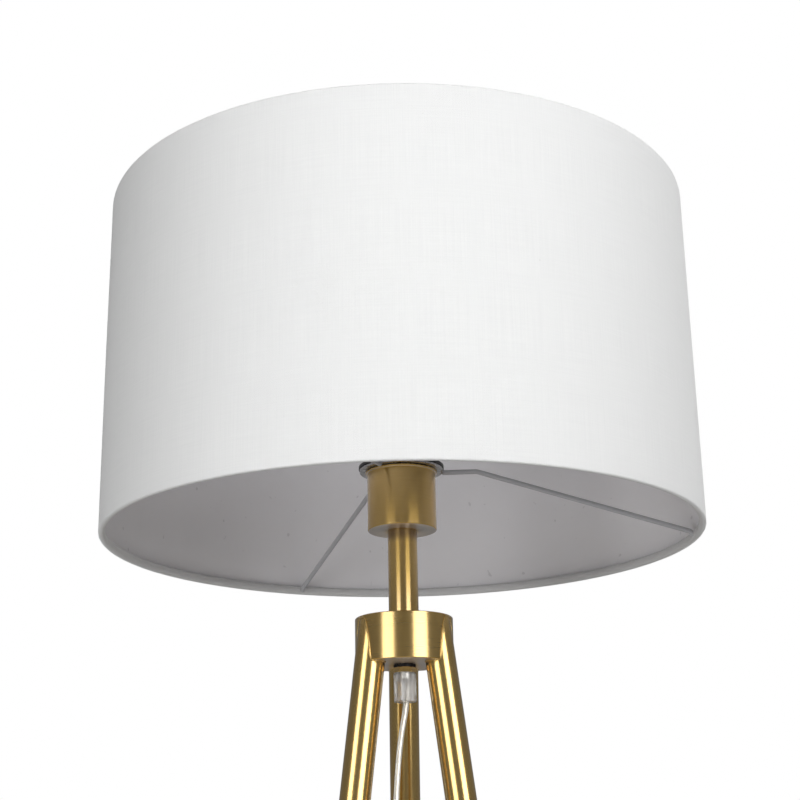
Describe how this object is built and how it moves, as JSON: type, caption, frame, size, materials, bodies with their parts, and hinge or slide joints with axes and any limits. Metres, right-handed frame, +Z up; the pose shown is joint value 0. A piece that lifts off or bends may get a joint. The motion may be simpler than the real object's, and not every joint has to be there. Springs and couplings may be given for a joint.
{
  "type": "tripod floor lamp",
  "caption": "Floor lamp with a splayed tube tripod, turned hub, short stem, socket cup and a white drum shade on a wire fitter.",
  "frame": {"origin": "on the floor, under the lamp's upright axis", "axes": "+Z up along the lamp's axis; +Y towards the rear leg; the front is towards -Y"},
  "size_m": [0.4064, 0.4064, 1.5],
  "materials": {
    "satin_brass": "satin gold-toned plating, lightly brushed along the tube and round the hub",
    "cup_brass": "satin gold-toned plating, brushed round the cup",
    "plain_brass": "bright turned brass",
    "zinc_steel": "zinc-plated steel",
    "black_steel": "black oxide",
    "aluminium_shell": "rolled bright aluminium",
    "clear_plastic": "clear moulded plastic",
    "clear_cord": "clear vinyl over two stranded conductors",
    "lead_insulation": "clear vinyl",
    "black_plastic": "moulded, semi-gloss",
    "foot_rubber": "matte moulded rubber",
    "white_plastic": "moulded, satin",
    "milky_globe": "milky diffuser",
    "circuit_board": "white lacquered board",
    "shade_linen": "fine plain weave, off-white",
    "shade_liner": "smooth white sheet",
    "white_wire": "white powder coat"
  },
  "bodies": {
    "stand": {"hub": "satin_brass", "leg_upper_rear": "satin_brass", "leg_upper_left": "satin_brass", "leg_upper_right": "satin_brass", "leg_lower_rear": "satin_brass", "leg_lower_left": "satin_brass", "leg_lower_right": "satin_brass", "stem": "satin_brass", "socket_cup": "cup_brass", "hub_nut": "plain_brass", "cup_nut": "plain_brass", "centre_contact": "plain_brass", "terminal_screws": "plain_brass", "switch_contacts": "plain_brass", "plug_blades": "plain_brass", "threaded_pipe": "zinc_steel", "cup_washer": "zinc_steel", "upper_leg_inserts": "zinc_steel", "lower_leg_inserts": "zinc_steel", "leg_studs": "zinc_steel", "switch_spring": "zinc_steel", "switch_screws": "zinc_steel", "hub_washer": "black_steel", "screw_shell": "aluminium_shell", "strain_relief": "clear_plastic", "relief_screw": "clear_plastic", "cord_drop": "clear_cord", "cord_lead": "clear_cord", "cord_tail": "clear_cord", "cord_coil": "clear_cord", "inner_leads": "lead_insulation", "holder_cap": "black_plastic", "holder_body": "black_plastic", "switch_base": "black_plastic", "switch_cover": "black_plastic", "plug_body": "black_plastic", "foot_rear": "foot_rubber", "foot_left": "foot_rubber", "foot_right": "foot_rubber"},
    "shade": {"shade_fabric": "shade_linen", "shade_liner": "shade_liner", "hem_bottom": "shade_linen", "hem_top": "shade_linen", "wire_ring_bottom": "white_wire", "wire_ring_top": "white_wire", "fitter_ring": "white_wire", "spoke_side": "white_wire", "spoke_back": "white_wire", "spoke_front": "white_wire"},
    "ring_nut": {"ring_nut": "black_plastic"},
    "bulb": {"bulb_tip": "plain_brass", "bulb_insulator": "black_plastic", "bulb_shell": "aluminium_shell", "bulb_housing": "white_plastic", "led_board": "circuit_board", "bulb_globe": "milky_globe"},
    "button": {"switch_button": "black_plastic"}
  },
  "joints": [
    {"name": "shade_turn", "type": "hinge", "parent": "stand", "child": "shade", "pos_m": [0, 0, 1.315], "axis": [0, 0, 1], "continuous": true},
    {"name": "ring_nut_turn", "type": "hinge", "parent": "stand", "child": "ring_nut", "pos_m": [0, 0, 1.32], "axis": [0, 0, 1], "continuous": true},
    {"name": "bulb_turn", "type": "hinge", "parent": "stand", "child": "bulb", "pos_m": [0, 0, 1.32], "axis": [0, 0, 1], "continuous": true},
    {"name": "foot_button_press", "type": "slide", "parent": "stand", "child": "button", "axis": [0, 0, -1], "range_m": [0, 0.0025], "stiffness_N_per_m": 900, "springref_m": -0.002, "deforming": ["switch_spring"]}
  ]
}
